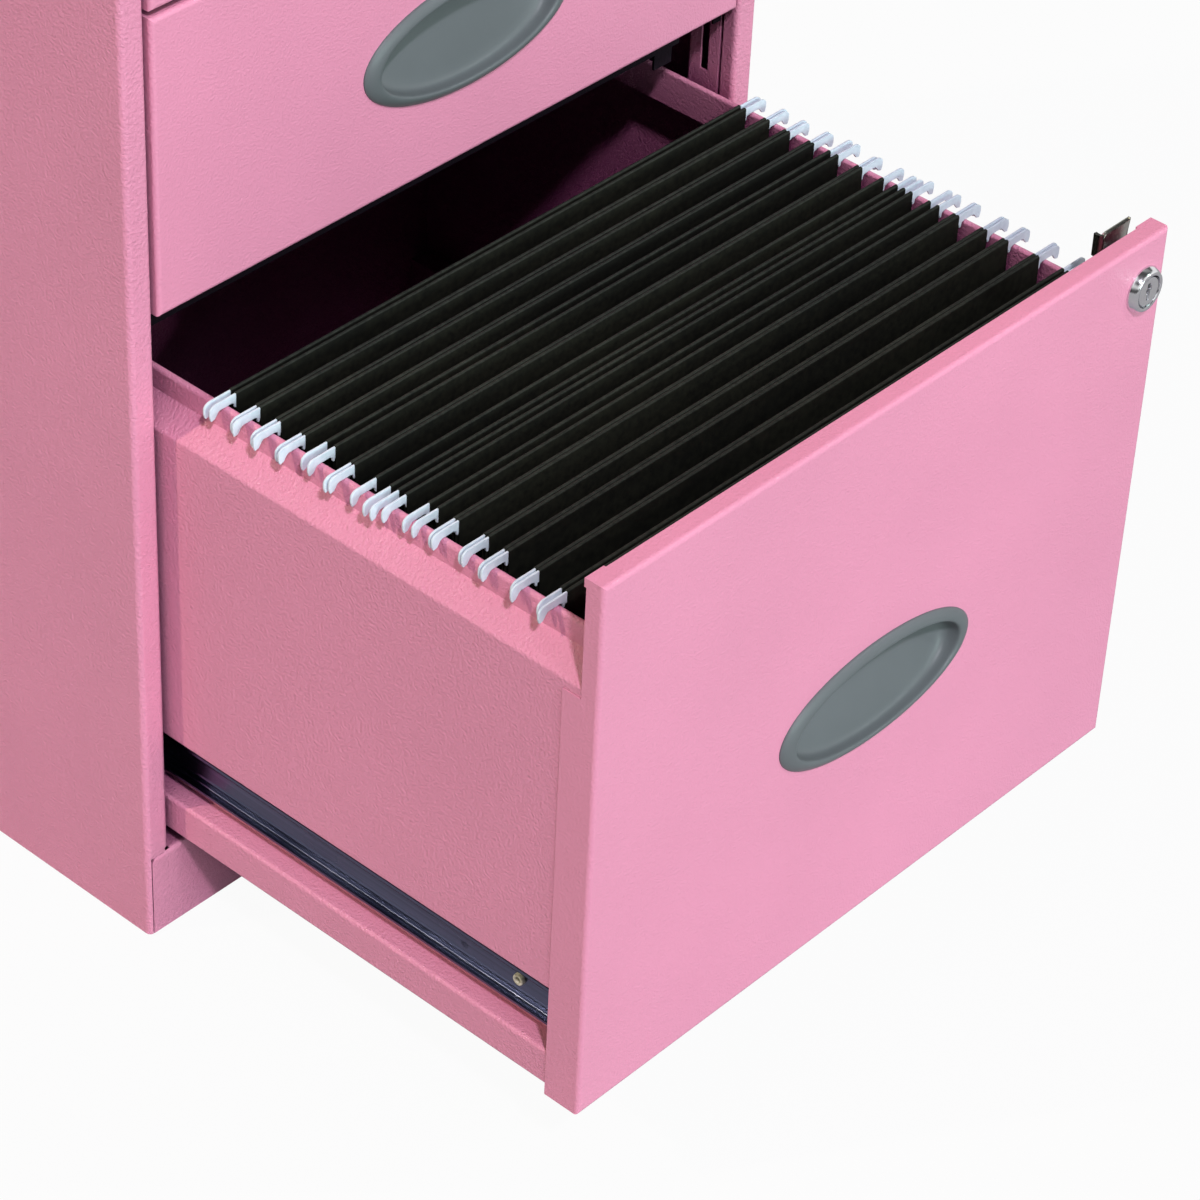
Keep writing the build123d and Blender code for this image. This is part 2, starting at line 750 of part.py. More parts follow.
def box_back(height):
    """Back of a box drawer with a flange on its top edge."""
    floor = height - tray_floor_drop + drawer_gauge + 0.2
    half = side_web - drawer_gauge - 0.2
    high = floor + tray_height - box_back_drop
    rear = drawer_end - 3
    plate = block((-half, half), (rear - drawer_gauge, rear), (floor, high))
    edge = half - tray_hem - 1
    return plate + block((-edge, edge), (rear - box_back_fold, rear), (high - 1, high))


def in_lock(section, start, end):
    """Run a section drawn round the lock's centre line from one depth to another."""
    return along_y(Pos(lock_x, lock_z) * section, start, end)


def lock_housing():
    """Cam lock housing: tapered bezel outside, flatted barrel behind the front."""
    face, collar = -front_proud, -front_proud - 0.6
    slope = degrees(atan((bezel_radius - bezel_front_radius) / (bezel_proud - 0.6)))
    base = Plane.XZ.offset(-collar) * (Pos(lock_x, lock_z) * flat_round(bezel_radius, lock_sides))
    bezel = in_lock(flat_round(bezel_radius, lock_sides), collar, face)
    bezel += extrude(base, bezel_proud - 0.6, taper=slope)
    barrel = flat_round(housing_radius, lock_sides) & Rectangle(2 * housing_flat, 4 * housing_radius)
    bore = flat_round(plug_radius + plug_clearance, lock_sides, True)
    body = bezel + in_lock(barrel, face, face + housing_length)
    return body - in_lock(bore, face - bezel_proud - 1, face + housing_length + 1)


def lock_nut():
    """Hexagon nut that clamps the housing to the front."""
    corner = nut_across_flats / 2 / cos(radians(30))
    nut = RegularPolygon(corner, 6, rotation=30) - flat_round(housing_radius + 0.05, lock_sides, True)
    return in_lock(nut, face_back + 0.1, face_back + 0.1 + nut_thickness)


def lock_plug():
    """Turning plug with its keyway and the squared tail that drives the cam."""
    face = -front_proud - bezel_proud + 0.4
    tail = cam_start - 0.1
    plug = in_lock(flat_round(plug_radius, lock_sides), face, tail)
    keyway = Rectangle(1.6, 8.0) + Pos(0.9, 1.4) * Rectangle(1.6, 1.8)
    plug -= in_lock(keyway, face - 1, face + 9)
    return plug + in_lock(Rectangle(5.0, 5.0), tail - 0.1, tail + cam_thickness)


def lock_cam():
    """Stamped cam: round hub, neck and a wide tip with a lip bent towards the keeper."""
    shape = flat_round(cam_hub, lock_sides) + polygon(
        [(-cam_hub, 0), (cam_hub, 0), (cam_half_width, cam_flare), (cam_half_width, cam_reach - 1),
         (cam_half_width - 1.5, cam_reach), (-cam_half_width + 1.5, cam_reach),
         (-cam_half_width, cam_reach - 1), (-cam_half_width, cam_flare)])
    cam = in_lock(shape - Rectangle(5.1, 5.1), cam_start, cam_start + cam_thickness)
    lip = block((lock_x - cam_half_width, lock_x - cam_half_width + 1.8),
                (cam_start + 0.5, cam_start + cam_thickness + 3),
                (lock_z + cam_flare + 1, lock_z + cam_reach - 1))
    return cam + lip


def cam_screw():
    """Flat-head screw that keeps the cam on the plug."""
    start = cam_start + cam_thickness + 0.1
    slot = block((lock_x - 5, lock_x + 5), (start + 1.2, start + 3), (lock_z - 0.5, lock_z + 0.5))
    return in_lock(flat_round(4.2, screw_sides), start, start + 2.2) - slot


def rod_outline():
    """Flat hanger rod with a hook at each end that lies on the hanging rail."""
    seat = rail_top + 0.1
    top = rail_top + rod_rise
    end = rail_outer + hook_reach
    low = top - hook_fall
    right = [(folder_half + 1.0, seat - tooth_drop), (folder_half + 2.0, seat),
             (end - hook_width, seat), (end - hook_tip - 0.6, low), (end - 0.6, low),
             (end, seat - 0.9), (end, top - 1.3), (end - 1.3, top)]
    left = [(-x, z) for x, z in reversed(right)]
    return polygon(right + left)


def folder_section(front, spread):
    """One folder from the side: two leaves folded over their rods, joined at the bottom."""
    top = rail_top + rod_rise + rod_slack
    inner = rod_thickness / 2 + rod_slack
    outer = inner + paper
    seat = rail_top - 12
    middle = front + spread / 2
    half = [(-1.4, folder_bottom), (-spread / 2 - outer, seat), (-spread / 2 - outer, top + paper),
            (-spread / 2 + outer, top + paper), (-spread / 2 + outer, seat),
            (-spread / 2 + inner, seat), (-spread / 2 + inner, top), (-spread / 2 - inner, top),
            (-spread / 2 - inner, seat), (-0.9, folder_bottom + paper)]
    rear = [(-y, z) for y, z in reversed(half)]
    return Pos(middle, 0) * polygon(half + rear)


def folders():
    """Hanging folders: the papers and the rods, one pair of rods to a folder."""
    half = folder_half - 0.2
    papers, rods = [], []
    outline = rod_outline()
    for front, spread in zip(folder_places, folder_spreads):
        papers.append(along_x(folder_section(front, spread), -half, half))
        for at in (front, front + spread):
            rods.append(along_y(outline, at - rod_thickness / 2, at + rod_thickness / 2))
    return Compound(papers), Compound(rods)


def cabinet_nodes():
    """Every piece by name, each with how far it stands open at rest."""
    shut, open_, half_open = 0, file_opening, file_opening / 2
    nodes = {}
    brackets, glides = feet()
    nodes["top_panel"] = top_panel(), shut
    nodes["back_panel"] = back_panel(), shut
    nodes["base_rail_front"] = base_rail_front(), shut
    nodes["base_rail_rear"] = base_rail_rear(), shut
    nodes["divider_rail_lower"] = lower_divider(), shut
    high = top_front_bottom + 1
    nodes["divider_rail_upper"] = divider_rail(high - divider_height, high), shut
    nodes["foot_brackets"] = brackets, shut
    nodes["levelling_glides"] = glides, shut
    pairs = {"side_panel": (side_panel(), shut),
             "upright_front": (upright(upright_start, slot_bottoms()), shut),
             "upright_rear": (upright(rear_upright_start, slots_in_use()), shut),
             "file_side": (file_side(), open_)}
    drawers = {"file": (file_slide, open_), "middle": (middle_slide, shut),
               "top": (top_slide, shut)}
    for name, (height, opened) in drawers.items():
        pairs[name + "_runner"] = runner(height), shut
        pairs[name + "_slide"] = slide_member(height), opened
        pairs[name + "_ball_cage"] = cage(height), opened / 2
        right = rivets(height)
        nodes[name + "_rivets"] = Compound(right + [mirrored(r) for r in right]), opened
    for name, (right, opened) in pairs.items():
        nodes[name + "_right"] = right, opened
        nodes[name + "_left"] = mirrored(right), opened
    for name, height, bottom in (("middle", middle_slide, middle_front_bottom),
                                 ("top", top_slide, top_front_bottom)):
        nodes[name + "_front"] = box_front(bottom), shut
        nodes[name + "_tray"] = box_tray(height), shut
        nodes[name + "_back"] = box_back(height), shut
        centre = bottom + box_front_height / 2 - box_handle_drop
        nodes[name + "_handle"] = handle_cup(centre), shut
    papers, rods = folders()
    nodes["file_front"] = file_front(), open_
    nodes["file_floor"] = file_floor(), open_
    nodes["file_back"] = file_back(), open_
    nodes["file_handle"] = handle_cup(file_cup), open_
    nodes["lock_housing"] = lock_housing(), open_
    nodes["lock_nut"] = lock_nut(), open_
    nodes["lock_plug"] = lock_plug(), open_
    nodes["lock_cam"] = lock_cam(), open_
    nodes["cam_screw"] = cam_screw(), open_
    nodes["folder_papers"] = papers, open_
    nodes["folder_rods"] = rods, open_
    return nodes


os.makedirs("parts", exist_ok=True)
for node, (piece, opened) in cabinet_nodes().items():
    export_step(Pos(0, -opened - origin_depth, 0) * piece, f"parts/{node}.step")
print("case", case_width, case_depth, round(case_height, 2))
print("file drawer open", file_opening, "of", slide_travel)
print("slide heights", round(file_slide, 2), round(middle_slide, 2), round(top_slide, 2))
print("folder width", round(2 * folder_half, 2))
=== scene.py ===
from math import cos, pi, radians, sin
import random

import bmesh
import bpy
from mathutils import Matrix, Vector


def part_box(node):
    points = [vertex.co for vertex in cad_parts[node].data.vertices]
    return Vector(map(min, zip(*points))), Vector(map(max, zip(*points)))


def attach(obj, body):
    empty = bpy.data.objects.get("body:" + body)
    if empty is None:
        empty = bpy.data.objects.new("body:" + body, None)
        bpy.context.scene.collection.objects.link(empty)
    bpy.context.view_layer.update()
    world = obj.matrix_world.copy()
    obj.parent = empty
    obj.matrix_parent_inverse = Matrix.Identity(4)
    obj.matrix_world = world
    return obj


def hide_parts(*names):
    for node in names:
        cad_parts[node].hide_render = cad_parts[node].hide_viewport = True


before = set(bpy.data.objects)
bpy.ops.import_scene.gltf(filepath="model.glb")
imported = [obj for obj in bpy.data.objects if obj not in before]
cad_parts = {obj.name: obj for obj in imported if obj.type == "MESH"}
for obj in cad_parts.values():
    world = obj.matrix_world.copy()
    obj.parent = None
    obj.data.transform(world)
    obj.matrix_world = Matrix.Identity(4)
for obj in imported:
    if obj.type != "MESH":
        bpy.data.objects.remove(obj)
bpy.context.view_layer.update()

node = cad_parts
bpy.context.scene.view_settings.view_transform = "Standard"


# ---- The stand ---------------------------------------------------------------------------
# A matt white floor sheet under the cabinet. It prints as paper white and keeps only the soft
# shadow that the cabinet throws on it.
def new_finish(name, roughness, gloss):
    """Node material with its shader, as matt or glossy as given."""
    finish = bpy.data.materials.new(name)
    finish.use_nodes = True
    tree = finish.node_tree
    shader = tree.nodes["Principled BSDF"]
    shader.inputs["Roughness"].default_value = roughness
    shader.inputs["Specular IOR Level"].default_value = gloss
    return finish, tree, shader


def wire(tree, source, target, into):
    """Lead an output into a node's input."""
    tree.links.new(source, target.inputs[into])


def sum_of(tree, how, first, second):
    """Add, multiply or take the larger of two values."""
    step = tree.nodes.new("ShaderNodeMath")
    step.operation = how
    for place, value in enumerate((first, second)):
        if isinstance(value, float):
            step.inputs[place].default_value = value
        else:
            wire(tree, value, step, place)
    return step.outputs["Value"]


def floor_sheet():
    """Flat sheet far wider than the cabinet, a hair below its feet."""
    mesh = bpy.data.meshes.new("floor_sheet")
    reach, level_of_floor = 9.0, -0.0004
    corners = [(across * reach, along * reach, level_of_floor)
               for across, along in ((-1, -1), (1, -1), (1, 1), (-1, 1))]
    mesh.from_pydata(corners, [], [(0, 1, 2, 3)])
    sheet = bpy.data.objects.new("floor_sheet", mesh)
    bpy.context.scene.collection.objects.link(sheet)
    finish, tree, shader = new_finish("floor_white", 0.9, 0.2)
    shader.inputs["Base Color"].default_value = (0.44, 0.43, 0.45, 1)
    share_of_paper = 0.95
    paper = tree.nodes.new("ShaderNodeEmission")
    paper.inputs["Color"].default_value = (1, 1, 1, 1)
    seen = tree.nodes.new("ShaderNodeLightPath")
    blend = tree.nodes.new("ShaderNodeMixShader")
    wire(tree, sum_of(tree, "MULTIPLY", seen.outputs["Is Camera Ray"], share_of_paper), blend,
         "Fac")
    wire(tree, shader.outputs["BSDF"], blend, 1)
    wire(tree, paper.outputs["Emission"], blend, 2)
    wire(tree, blend.outputs["Shader"], tree.nodes["Material Output"], "Surface")
    mesh.materials.append(finish)


floor_sheet()


# ---- The lamps ---------------------------------------------------------------------------
# A soft front lamp, a high main lamp from the front left, a warm lamp from behind on the left
# and a weak one from the right, in an almost dark room whose walls only show in the gloss.
def lamp(name, travels, strength, colour, softness):
    """Far lamp whose light travels along a direction."""
    data = bpy.data.lights.new(name, "SUN")
    data.energy = strength
    data.color = colour
    data.angle = radians(softness)
    holder = bpy.data.objects.new(name, data)
    holder.rotation_mode = "QUATERNION"
    holder.rotation_quaternion = Vector(travels).to_track_quat("-Z", "Y")
    bpy.context.scene.collection.objects.link(holder)


lamp("main_lamp", (1.0, 1.5, -2.2), 2.15, (0.94, 0.90, 1.0), 4.0)
lamp("left_lamp", (0.85, -0.53, -0.85), 1.12, (1.0, 0.92, 0.66), 2.0)
lamp("front_lamp", (0.1, 1.0, -0.3), 1.85, (0.77, 1.0, 0.95), 25.0)
lamp("right_lamp", (-0.5, 0.6, -0.7), 0.26, (0.7, 1.0, 0.9), 12.0)
lamp("edge_lamp", (-0.58, 0.62, -0.53), 0.34, (1.0, 0.98, 1.0), 1.5)


def level(tree, value, start, end, low=0.0, high=1.0):
    """Value that rises from low to high while another goes from start to end."""
    slope = tree.nodes.new("ShaderNodeMapRange")
    slope.inputs["From Min"].default_value = start
    slope.inputs["From Max"].default_value = end
    slope.inputs["To Min"].default_value = low
    slope.inputs["To Max"].default_value = high
    wire(tree, value, slope, "Value")
    return slope.outputs["Result"]


def white_room():
    """White behind the cabinet, screens of white in the gloss, almost dark as a light."""
    world = bpy.data.worlds.new("white_room")
    world.use_nodes = True
    tree = world.node_tree
    screen_scale, screen_starts, screen_full = 1.7, 0.42, 0.56
    between_screens, room_light = 0.08, 0.07
    seen = tree.nodes.new("ShaderNodeLightPath")
    clear = sum_of(tree, "MAXIMUM", seen.outputs["Is Camera Ray"],
                   seen.outputs["Is Transmission Ray"])
    towards = tree.nodes.new("ShaderNodeTexCoord")
    screens = tree.nodes.new("ShaderNodeTexNoise")
    screens.inputs["Scale"].default_value = screen_scale
    screens.inputs["Detail"].default_value = 0.0
    wire(tree, towards.outputs["Generated"], screens, "Vector")
    lit = level(tree, screens.outputs["Fac"], screen_starts, screen_full, between_screens)
    shine = sum_of(tree, "MULTIPLY", seen.outputs["Is Glossy Ray"], lit)
    strength = sum_of(tree, "MAXIMUM", sum_of(tree, "MAXIMUM", clear, shine), room_light)
    back = tree.nodes["Background"]
    back.inputs["Color"].default_value = (1, 1, 1, 1)
    wire(tree, strength, back, "Strength")
    bpy.context.scene.world = world


white_room()


# ---- The viewpoint -----------------------------------------------------------------------
# The picture is taken from the front left and above, about 1.7 m away, through a long lens and
# with a slight roll.
def viewpoint():
    """Camera at the photograph's angle and distance."""
    data = bpy.data.cameras.new("camera")
    data.sensor_width = 36.0
    data.sensor_fit = "HORIZONTAL"
    data.lens = 128.13
    data.clip_start, data.clip_end = 0.05, 60.0
    camera = bpy.data.objects.new("camera", data)
    camera.location = (-1.06621, -1.11141, 1.22642)
    camera.rotation_euler = (radians(51.9256), radians(-2.2948), radians(-47.5587))
    bpy.context.scene.collection.objects.link(camera)
    bpy.context.scene.camera = camera


viewpoint()


# ---- Case sheet metal --------------------------------------------------------------------
# Folded steel sheets, sprayed with a pebbled pink powder coat after welding: side panels with
# their stiles, top with its header, back, and the base rails.
def noise(tree, scale, detail, stretch=(1, 1, 1)):
    """Clouded value that lies fixed on the piece, with so many clouds to the metre."""
    place = tree.nodes.new("ShaderNodeTexCoord")
    frame_of = tree.nodes.new("ShaderNodeMapping")
    frame_of.inputs["Scale"].default_value = stretch
    wire(tree, place.outputs["Object"], frame_of, "Vector")
    cloud = tree.nodes.new("ShaderNodeTexNoise")
    cloud.inputs["Scale"].default_value = scale
    cloud.inputs["Detail"].default_value = detail
    wire(tree, frame_of.outputs["Vector"], cloud, "Vector")
    return cloud.outputs["Fac"]


def tones(tree, value, start, first, end, last):
    """Colour that goes from the first to the last with a value."""
    ramp = tree.nodes.new("ShaderNodeValToRGB")
    for stop, place, colour in zip(ramp.color_ramp.elements, (start, end), (first, last)):
        stop.position = place
        stop.color = (*colour, 1)
    wire(tree, value, ramp, "Fac")
    return ramp.outputs["Color"]


def over(tree, share, under, upper):
    """A second colour laid over the first where the share is high."""
    mix = tree.nodes.new("ShaderNodeMix")
    mix.data_type = "RGBA"
    wire(tree, share, mix, "Factor")
    wire(tree, under, mix, "A")
    mix.inputs["B"].default_value = (*upper, 1)
    return mix.outputs["Result"]


def raise_skin(tree, shader, height, strength, depth):
    """Fine relief on a surface and on its clear coat, depth in metres."""
    skin = tree.nodes.new("ShaderNodeBump")
    skin.inputs["Strength"].default_value = strength
    skin.inputs["Distance"].default_value = depth
    wire(tree, height, skin, "Height")
    wire(tree, skin.outputs["Normal"], shader, "Normal")
    wire(tree, skin.outputs["Normal"], shader, "Coat Normal")


def drifting(tree, cloud, colour):
    """Colour that drifts a little darker and lighter with a clouded value."""
    return tones(tree, cloud, 0.3, [c * 0.96 for c in colour], 0.7, [c * 1.03 for c in colour])


def shaded(tree, colour, deep):
    """Coat darkened towards a deep plum as painted shade, in seams and inside the case where
    little light comes.
    """
    reach, half_open, shut_in = 0.45, 0.22, 0.07
    near = tree.nodes.new("ShaderNodeAmbientOcclusion")
    near.inputs["Distance"].default_value = reach
    near.samples = 6
    painted_shade_share = level(tree, near.outputs["AO"], half_open, shut_in)
    return over(tree, painted_shade_share, colour, deep)


def powder_coat(name, colour, peel, fineness):
    """Baked powder coat: orange peel, so many metres deep, over a faint drift of colour, with
    painted shade darkening it in seams and inside the case.
    """
    painted_shade_plum = (0.11, 0.012, 0.07)
    pebbles_to_metre, grains_to_metre, grain_share = 640.0, 2000.0, 0.35
    finish, tree, shader = new_finish(name, 0.44, 0.35)
    shader.inputs["Coat Weight"].default_value = 0.22
    shader.inputs["Coat Roughness"].default_value = 0.15
    skin = drifting(tree, noise(tree, 9.0, 3.0), colour)
    # painted shade: the coat's colour turns deep plum in seams and inside the case
    wire(tree, shaded(tree, skin, painted_shade_plum), shader, "Base Color")
    broad = noise(tree, pebbles_to_metre * fineness, 2.0)
    fine = noise(tree, grains_to_metre * fineness, 1.0)
    pebbles = sum_of(tree, "ADD", broad, sum_of(tree, "MULTIPLY", fine, grain_share))
    raise_skin(tree, shader, pebbles, 1.0, peel)
    return finish


def spray(finish, *names):
    """Give CAD pieces their finish."""
    for name in names:
        slots = node[name].data.materials
        slots.clear()
        slots.append(finish)


pink = (0.78, 0.285, 0.425)
case_paint = powder_coat("case_paint", pink, 0.0006, 1.25)
spray(case_paint, "side_panel_left", "side_panel_right", "top_panel", "back_panel",
      "base_rail_front", "base_rail_rear")


# ---- Inner frame -------------------------------------------------------------------------
# Slotted uprights that the slides hook into and two cross rails between the drawers, welded in
# before the coat is sprayed.
def height_on(tree):
    """Height over the floor of each point of a piece."""
    place = tree.nodes.new("ShaderNodeTexCoord")
    split = tree.nodes.new("ShaderNodeSeparateXYZ")
    wire(tree, place.outputs["Object"], split, "Vector")
    return split.outputs["Z"]


def rail_with_painted_shade():
    """Coat on the lower cross rail; its lower edge and keeper tab are coloured near black, painted
    shade for the shadow under the middle front.
    """
    finish, tree, shader = new_finish("keeper_painted_shade", 0.6, 0.08)
    shade_fades_above, shade_full_below, painted_shade_black = 0.3045, 0.3035, (0.006, 0.003, 0.006)
    # painted shade: below the rail's lower edge the coat turns near black
    painted_shade_below = level(tree, height_on(tree), shade_fades_above, shade_full_below)
    skin = drifting(tree, noise(tree, 120.0, 4.0), pink)
    wire(tree, over(tree, painted_shade_below, skin, painted_shade_black), shader, "Base Color")
    raise_skin(tree, shader, noise(tree, 800.0, 2.0), 0.6, 0.0005)
    return finish


spray(case_paint, "upright_front_left", "upright_front_right", "upright_rear_left",
      "upright_rear_right", "divider_rail_upper")
# the lower cross rail's lower edge and keeper tab carry painted shade
spray(rail_with_painted_shade(), "divider_rail_lower")


# ---- Feet --------------------------------------------------------------------------------
# Corner brackets in the base, and levelling glides: a moulded dark pad on a zinc-plated stud.
def moulded_pad():
    """Black moulded pad below, plated thread above."""
    finish, tree, shader = new_finish("glide_plastic", 0.42, 0.5)
    pad_top, stud_foot, threads = 0.0050, 0.0052, 320.0
    black, worn_black, plate = (0.012, 0.012, 0.013), (0.03, 0.03, 0.03), (0.55, 0.56, 0.58)
    stud = level(tree, height_on(tree), pad_top, stud_foot)
    pad = tones(tree, noise(tree, 260.0, 3.0), 0.3, black, 0.7, worn_black)
    wire(tree, over(tree, stud, pad, plate), shader, "Base Color")
    wire(tree, stud, shader, "Metallic")
    thread = tree.nodes.new("ShaderNodeTexWave")
    thread.bands_direction = "Z"
    thread.inputs["Scale"].default_value = threads
    place = tree.nodes.new("ShaderNodeTexCoord")
    wire(tree, place.outputs["Object"], thread, "Vector")
    raise_skin(tree, shader, thread.outputs["Fac"], 0.5, 0.0006)
    return finish


spray(case_paint, "foot_brackets")
spray(moulded_pad(), "levelling_glides")


# ---- Ball slides -------------------------------------------------------------------------
# Rolled steel slides in bright zinc: a runner hooked to the uprights, a member riveted to the
# drawer, and a strip of balls between them that travels at half the drawer's speed.
def bright_zinc(name, colour, roughness):
    """Rolled zinc-plated strip with fine drawing lines along the slide and a clouded shine."""
    smoother, rougher = 0.08, 0.1
    finish, tree, shader = new_finish(name, roughness, 0.5)
    shader.inputs["Metallic"].default_value = 1.0
    lines = noise(tree, 1.0, 5.0, (900.0, 6.0, 900.0))
    cloud = noise(tree, 70.0, 3.0, (1.0, 0.35, 1.0))
    groove, ridge = [c * 0.7 for c in colour], [c * 1.25 for c in colour]
    wire(tree, tones(tree, lines, 0.25, groove, 0.75, ridge), shader, "Base Color")
    wire(tree, level(tree, cloud, 0.3, 0.7, roughness - smoother, roughness + rougher), shader,
         "Roughness")
    raise_skin(tree, shader, lines, 0.15, 0.0002)
    return finish


slide_gauge = 0.0012
zinc = bright_zinc("slide_steel", (0.11, 0.12, 0.19), 0.22)
for tier in ("file", "middle", "top"):
    for side in ("left", "right"):
        spray(zinc, f"{tier}_runner_{side}", f"{tier}_slide_{side}", f"{tier}_ball_cage_{side}")
    spray(zinc, f"{tier}_rivets")


def eased(points, steps=4):
    """Line of points (x, z, ease) whose corners are rounded off by the length given."""
    line = []
    for k, (x, z, ease) in enumerate(points):
        corner = Vector((x, z))
        if not ease:
            line.append(corner)
            continue
        start = corner + (Vector(points[k - 1][:2]) - corner).normalized() * ease
        end = corner + (Vector(points[(k + 1) % len(points)][:2]) - corner).normalized() * ease
        for step in range(steps + 1):
            t = step / steps
            line.append(start * (1 - t) ** 2 + corner * 2 * t * (1 - t) + end * t ** 2)
    return line


def sheet_edge(line, gauge):
    """Closed outline of a bent sheet from the line along its middle."""
    near, far = [], []
    for k, point in enumerate(line):
        along = (line[min(k + 1, len(line) - 1)] - line[max(k - 1, 0)]).normalized()
        across = Vector((-along.y, along.x)) * gauge / 2
        near.append(point + across)
        far.append(point - across)
    return near + far[::-1]


def circle(sides, radius, start=0.0):
    """Even points round a circle."""
    turns = [start + 2 * pi * k / sides for k in range(sides)]
    return [(radius * cos(turn), radius * sin(turn)) for turn in turns]


def skin_over(mesh, rings, close_first=True, close_last=True):
    """Skin through closed rings of points."""
    loops = [[mesh.verts.new(p) for p in ring] for ring in rings]
    for near, far in zip(loops, loops[1:]):
        for k in range(len(near)):
            after = (k + 1) % len(near)
            mesh.faces.new((near[k], near[after], far[after], far[k]))
    if close_first:
        mesh.faces.new(loops[0][::-1])
    if close_last:
        mesh.faces.new(loops[-1])


def fit_piece(name, mesh, finish, body, slot, *stands_for, crease=35):
    """Put a built mesh in its place on a body, instead of the plain CAD pieces."""
    bmesh.ops.recalc_face_normals(mesh, faces=mesh.faces)
    data = bpy.data.meshes.new(name)
    mesh.to_mesh(data)
    mesh.free()
    data.shade_smooth()
    data.set_sharp_from_angle(angle=radians(crease))
    data.materials.append(finish)
    piece = bpy.data.objects.new(name, data)
    bpy.context.scene.collection.objects.link(piece)
    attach(piece, body)
    if stands_for:
        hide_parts(*stands_for)


def drawer_member(side, way):
    """Channel on the file drawer: web with a pressed bead, rolled bends, flanges with a lip."""
    low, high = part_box(f"file_slide_{side}")
    middle = (low.z + high.z) / 2
    web = abs(low.x if way > 0 else high.x) + slide_gauge / 2
    half = (high.z - low.z) / 2 - slide_gauge / 2
    bend, bead = 0.0017, 0.0003
    # lip, flange, bend and pressed bead: over the web, height and ease of each corner
    lower = [(0.0039, -half - 0.0001, 0), (0.0026, -half, 0.0006), (0.0, -half, bend),
             (0.0, -half + 0.0036, bead), (0.0004, -half + 0.0043, bead),
             (0.0, -half + 0.005, bead)]
    upper = [(x, -z, ease) for x, z, ease in reversed(lower)]
    outline = sheet_edge(eased([(web + x, z, ease) for x, z, ease in lower + upper]), slide_gauge)
    mesh = bmesh.new()
    skin_over(mesh, [[(way * x, y, middle + z) for x, z in outline] for y in (low.y, high.y)])
    fit_piece(f"file_member_{side}", mesh, zinc, "file_drawer", "slide_steel",
              f"file_slide_{side}")


def stop_boss(side, way):
    """Moulded buffer snapped on the member, the stop for the drawer."""
    low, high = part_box(f"file_slide_{side}")
    web = abs(low.x if way > 0 else high.x) + slide_gauge
    from_end, over_middle = 0.036, 0.0015
    along, height = low.y + from_end, (low.z + high.z) / 2 + over_middle
    # radius and height over the web, in mm
    profile = [(2.7, -0.2), (2.7, 0.5), (2.6, 1.3), (2.45, 1.6), (2.15, 1.75), (1.7, 1.7),
               (1.4, 1.4), (1.3, 0.9), (1.3, -0.2)]
    mesh = bmesh.new()
    skin_over(mesh, [[(way * (web + rise / 1000), along + y, height + z)
                      for y, z in circle(32, radius / 1000)] for radius, rise in profile],
              False, False)
    fit_piece(f"stop_buffer_{side}", mesh, buffer_plastic, "file_drawer", "slide_steel")


def cream_moulding():
    """Cream moulded buffer plastic, a little soiled."""
    finish, tree, shader = new_finish("buffer_plastic", 0.5, 0.4)
    soil = noise(tree, 900.0, 3.0)
    soiled, cream = (0.42, 0.38, 0.28), (0.72, 0.68, 0.56)
    wire(tree, tones(tree, soil, 0.35, soiled, 0.6, cream), shader, "Base Color")
    raise_skin(tree, shader, soil, 0.2, 0.0001)
    return finish


buffer_plastic = cream_moulding()
for side, way in (("left", -1), ("right", 1)):
    drawer_member(side, way)
    stop_boss(side, way)


# ---- Drawer bodies -----------------------------------------------------------------------
# Roll-formed sides with a floor and back welded between them, and for the two upper drawers
# folded trays with a back, in the same powder coat as the case.
drawer_paint = powder_coat("drawer_paint", pink, 0.0006, 1.25)
spray(drawer_paint, "file_side_left", "file_side_right", "file_floor", "file_back",
      "middle_tray", "middle_back", "top_tray", "top_back")


# ---- Drawer fronts -----------------------------------------------------------------------
# Pans of sheet folded back on four sides and spot-welded to the drawer bodies. The coat
# lies smoother on them.
front_paint = powder_coat("front_paint", pink, 0.0003, 1.4)
spray(front_paint, "file_front", "middle_front", "top_front")


# ---- Handle cups -------------------------------------------------------------------------
# Grey moulded ovals pushed through the fronts: a rolled bezel, a sharp inner lip and a dished
# finger recess behind it, shallow below and deep under its upper edge.
def satin_moulding():
    """Grey moulded plastic with a soft shine."""
    finish, tree, shader = new_finish("cup_plastic", 0.42, 0.28)
    grey, pale_grey = (0.116, 0.126, 0.132), (0.128, 0.138, 0.145)
    wire(tree, tones(tree, noise(tree, 30.0, 4.0), 0.3, grey, 0.7, pale_grey), shader,
         "Base Color")
    raise_skin(tree, shader, noise(tree, 1500.0, 2.0), 0.06, 0.0001)
    return finish


cup_plastic = satin_moulding()


def within(value):
    """Value held between nought and one."""
    return max(0.0, min(1.0, value))


